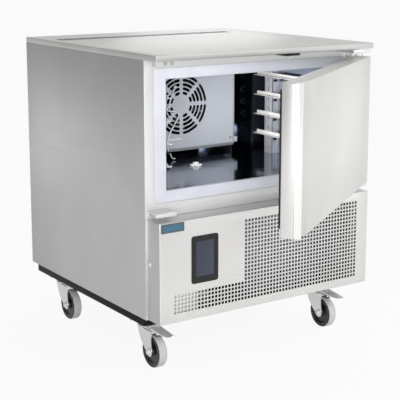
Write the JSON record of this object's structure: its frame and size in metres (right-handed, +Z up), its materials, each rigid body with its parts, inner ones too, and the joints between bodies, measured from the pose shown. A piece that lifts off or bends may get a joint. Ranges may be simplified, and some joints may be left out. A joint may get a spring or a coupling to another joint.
{
  "type": "blast chiller",
  "caption": "Undercounter stainless blast chiller on castors, with a side-hinged insulated door, tray rails, fan-cooled chamber and perforated control fascia.",
  "frame": {"origin": "on the floor under the middle of the worktop", "axes": "+Z up, -Y out of the front, +X to the right as seen from the front"},
  "size_m": [0.8012, 1.2617, 0.95],
  "materials": {
    "stainless": "brushed stainless sheet, satin",
    "bright_steel": "bright stainless",
    "liner_steel": "polished stainless lining",
    "black_paint": "satin black paint",
    "breaker_plastic": "white plastic with a faint lilac tint",
    "foam": "rigid insulation foam",
    "seal_rubber": "black magnetic seal",
    "black_plastic": "black moulded plastic",
    "screen_glass": "dark blue-grey touch glass",
    "badge_enamel": "teal enamel, bare",
    "zinc": "bright zinc-plated pressed steel",
    "wheel_black": "black moulded wheel core",
    "tyre_grey": "light grey non-marking tread",
    "copper": "copper tube",
    "fin_aluminium": "finned coil"
  },
  "bodies": {
    "cabinet": {"worktop": "stainless", "side_panel_left": "stainless", "side_panel_right": "stainless", "back_panel": "stainless", "front_surround": "stainless", "fascia_panel": "stainless", "evaporator_cover": "stainless", "lower_hinge_bracket_right": "bright_steel", "lower_hinge_bracket_left": "bright_steel", "upper_hinge_bracket": "bright_steel", "tray_rack_right": "bright_steel", "tray_rack_left": "bright_steel", "chamber_liner": "liner_steel", "base_frame": "black_paint", "compressor": "black_paint", "breaker_frame": "breaker_plastic", "drain_plug": "breaker_plastic", "insulated_body": "foam", "control_bezel": "black_plastic", "door_sensor": "black_plastic", "power_gland": "black_plastic", "core_probe": "black_plastic", "evaporator_fan_motor": "black_plastic", "condenser_fan_motor": "black_plastic", "control_screen": "screen_glass", "badge_plate": "badge_enamel", "control_box": "zinc", "castor_plate_front_left": "zinc", "castor_plate_rear_left": "zinc", "castor_plate_front_right": "zinc", "castor_plate_rear_right": "zinc", "discharge_line": "copper", "evaporator_coil": "fin_aluminium", "condenser_coil": "fin_aluminium"},
    "door": {"door_skin": "stainless", "door_core": "foam", "door_grip": "bright_steel", "door_liner": "stainless", "door_gasket": "seal_rubber"},
    "evaporator_fan": {"evaporator_fan": "black_paint"},
    "condenser_fan": {"condenser_fan": "black_paint"},
    "castor_front_left": {"castor_fork_front_left": "zinc", "castor_axle_front_left": "bright_steel"},
    "wheel_front_left": {"wheel_core_front_left": "wheel_black", "wheel_tyre_front_left": "tyre_grey"},
    "castor_rear_left": {"castor_fork_rear_left": "zinc", "castor_axle_rear_left": "bright_steel"},
    "wheel_rear_left": {"wheel_core_rear_left": "wheel_black", "wheel_tyre_rear_left": "tyre_grey"},
    "castor_front_right": {"castor_fork_front_right": "zinc", "castor_axle_front_right": "bright_steel"},
    "wheel_front_right": {"wheel_core_front_right": "wheel_black", "wheel_tyre_front_right": "tyre_grey"},
    "castor_rear_right": {"castor_fork_rear_right": "zinc", "castor_axle_rear_right": "bright_steel"},
    "wheel_rear_right": {"wheel_core_rear_right": "wheel_black", "wheel_tyre_rear_right": "tyre_grey"},
    "brake_front_left": {"brake_pedal_front_left": "zinc"},
    "brake_front_right": {"brake_pedal_front_right": "zinc"}
  },
  "joints": [
    {"name": "door_hinge", "type": "hinge", "parent": "cabinet", "child": "door", "pos_m": [0.375, -0.39, 0.706], "axis": [0, 0, 1], "range_deg": [-35, 65]},
    {"name": "evaporator_fan_spin", "type": "hinge", "parent": "cabinet", "child": "evaporator_fan", "pos_m": [0, 0.1052, 0.72985], "axis": [0, 1, 0], "continuous": true},
    {"name": "condenser_fan_spin", "type": "hinge", "parent": "cabinet", "child": "condenser_fan", "pos_m": [0.162, -0.219, 0.2873], "axis": [0, 1, 0], "continuous": true},
    {"name": "swivel_front_left", "type": "hinge", "parent": "cabinet", "child": "castor_front_left", "pos_m": [-0.33, -0.235, 0.13], "axis": [0, 0, 1], "continuous": true},
    {"name": "wheel_spin_front_left", "type": "hinge", "parent": "castor_front_left", "child": "wheel_front_left", "pos_m": [-0.33, -0.277, 0.05], "axis": [1, 0, 0], "continuous": true},
    {"name": "swivel_rear_left", "type": "hinge", "parent": "cabinet", "child": "castor_rear_left", "pos_m": [-0.33, 0.305, 0.13], "axis": [0, 0, 1], "continuous": true},
    {"name": "wheel_spin_rear_left", "type": "hinge", "parent": "castor_rear_left", "child": "wheel_rear_left", "pos_m": [-0.33, 0.263, 0.05], "axis": [1, 0, 0], "continuous": true},
    {"name": "swivel_front_right", "type": "hinge", "parent": "cabinet", "child": "castor_front_right", "pos_m": [0.33, -0.235, 0.13], "axis": [0, 0, 1], "continuous": true},
    {"name": "wheel_spin_front_right", "type": "hinge", "parent": "castor_front_right", "child": "wheel_front_right", "pos_m": [0.33, -0.277, 0.05], "axis": [1, 0, 0], "continuous": true},
    {"name": "swivel_rear_right", "type": "hinge", "parent": "cabinet", "child": "castor_rear_right", "pos_m": [0.33, 0.305, 0.13], "axis": [0, 0, 1], "continuous": true},
    {"name": "wheel_spin_rear_right", "type": "hinge", "parent": "castor_rear_right", "child": "wheel_rear_right", "pos_m": [0.33, 0.263, 0.05], "axis": [1, 0, 0], "continuous": true},
    {"name": "brake_front_left", "type": "hinge", "parent": "castor_front_left", "child": "brake_front_left", "pos_m": [-0.33, -0.276, 0.124], "axis": [1, 0, 0], "range_deg": [0, 18]},
    {"name": "brake_front_right", "type": "hinge", "parent": "castor_front_right", "child": "brake_front_right", "pos_m": [0.33, -0.276, 0.124], "axis": [1, 0, 0], "range_deg": [0, 18]}
  ]
}
